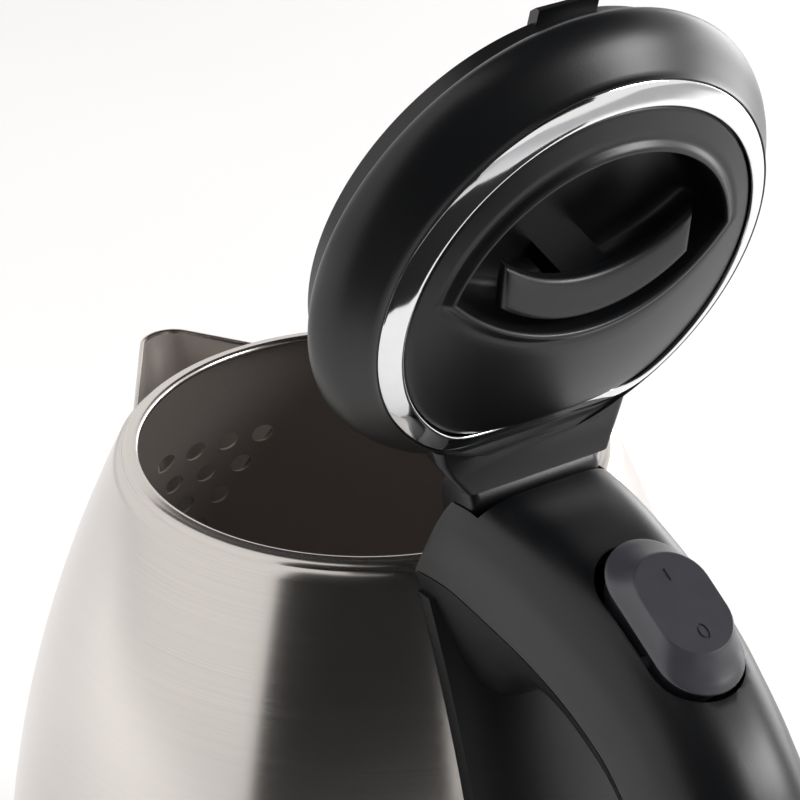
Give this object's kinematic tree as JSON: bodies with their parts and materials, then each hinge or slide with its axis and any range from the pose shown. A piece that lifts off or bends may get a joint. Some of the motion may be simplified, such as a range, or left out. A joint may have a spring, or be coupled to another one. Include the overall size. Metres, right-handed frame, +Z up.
{
  "type": "electric kettle",
  "caption": "Cordless electric kettle: tapered steel jug with an open hinged lid, finger latch, D handle with rocker switch, and a round power base.",
  "frame": {"origin": "on the jug's vertical axis, at the surface that the base's feet stand on", "axes": "+Z up the jug's axis, -X towards the spout, +X towards the handle, +Y to the side"},
  "size_m": [0.2378, 0.1688, 0.2994],
  "materials": {
    "black_plastic": "satin black, fine moulded grain",
    "brushed_steel": "brushed round the body",
    "chrome": "bright plated",
    "screw_steel": "plain",
    "aluminium": "as cast",
    "brass": "plain",
    "rubber": "matt",
    "silicone": "translucent grey, matt"
  },
  "bodies": {
    "power_base": {"base_housing": "black_plastic", "base_plate": "black_plastic", "base_feet": "rubber", "base_screws": "screw_steel", "base_connector": "black_plastic", "base_contacts": "brass", "cord_gland": "rubber"},
    "jug": {"jug_body": "brushed_steel", "spout": "brushed_steel", "jug_floor": "brushed_steel", "diffuser_plate": "aluminium", "heating_element": "aluminium", "floor_seal": "silicone", "control_unit": "black_plastic", "control_contacts": "brass", "thermostat_discs": "screw_steel", "jug_collar": "black_plastic", "collar_screws": "screw_steel", "handle_cover": "black_plastic", "handle_shell": "black_plastic", "hinge_block": "black_plastic", "hinge_pin": "screw_steel", "handle_bracket": "screw_steel", "handle_screws": "screw_steel", "steam_tube": "silicone", "switch_module": "black_plastic", "wire_loom": "rubber"},
    "rocker": {"rocker_switch": "black_plastic"},
    "lid": {"lid_shell": "black_plastic", "lid_ring": "chrome", "lid_cap": "black_plastic", "lid_liner": "black_plastic", "lid_screws": "screw_steel", "latch_springs": "screw_steel"},
    "latch": {"latch_lever": "black_plastic", "latch_tongue": "black_plastic"}
  },
  "joints": [
    {"name": "jug_lift", "type": "slide", "parent": "power_base", "child": "jug", "axis": [0, 0, 1], "range_m": [0, 0.08]},
    {"name": "lid_hinge", "type": "hinge", "parent": "jug", "child": "lid", "pos_m": [0.0552, 0, 0.1927], "axis": [0, 1, 0], "range_deg": [-106.3, 0]},
    {"name": "latch_slide", "type": "slide", "parent": "lid", "child": "latch", "axis": [-0.2807, 0, -0.9598], "range_m": [0, 0.002], "stiffness_N_per_m": 400, "springref_m": -0.003, "deforming": ["latch_springs"]},
    {"name": "rocker_pivot", "type": "hinge", "parent": "jug", "child": "rocker", "pos_m": [0.1075, 0, 0.1795], "axis": [0, -1, 0], "range_deg": [0, 12]}
  ]
}
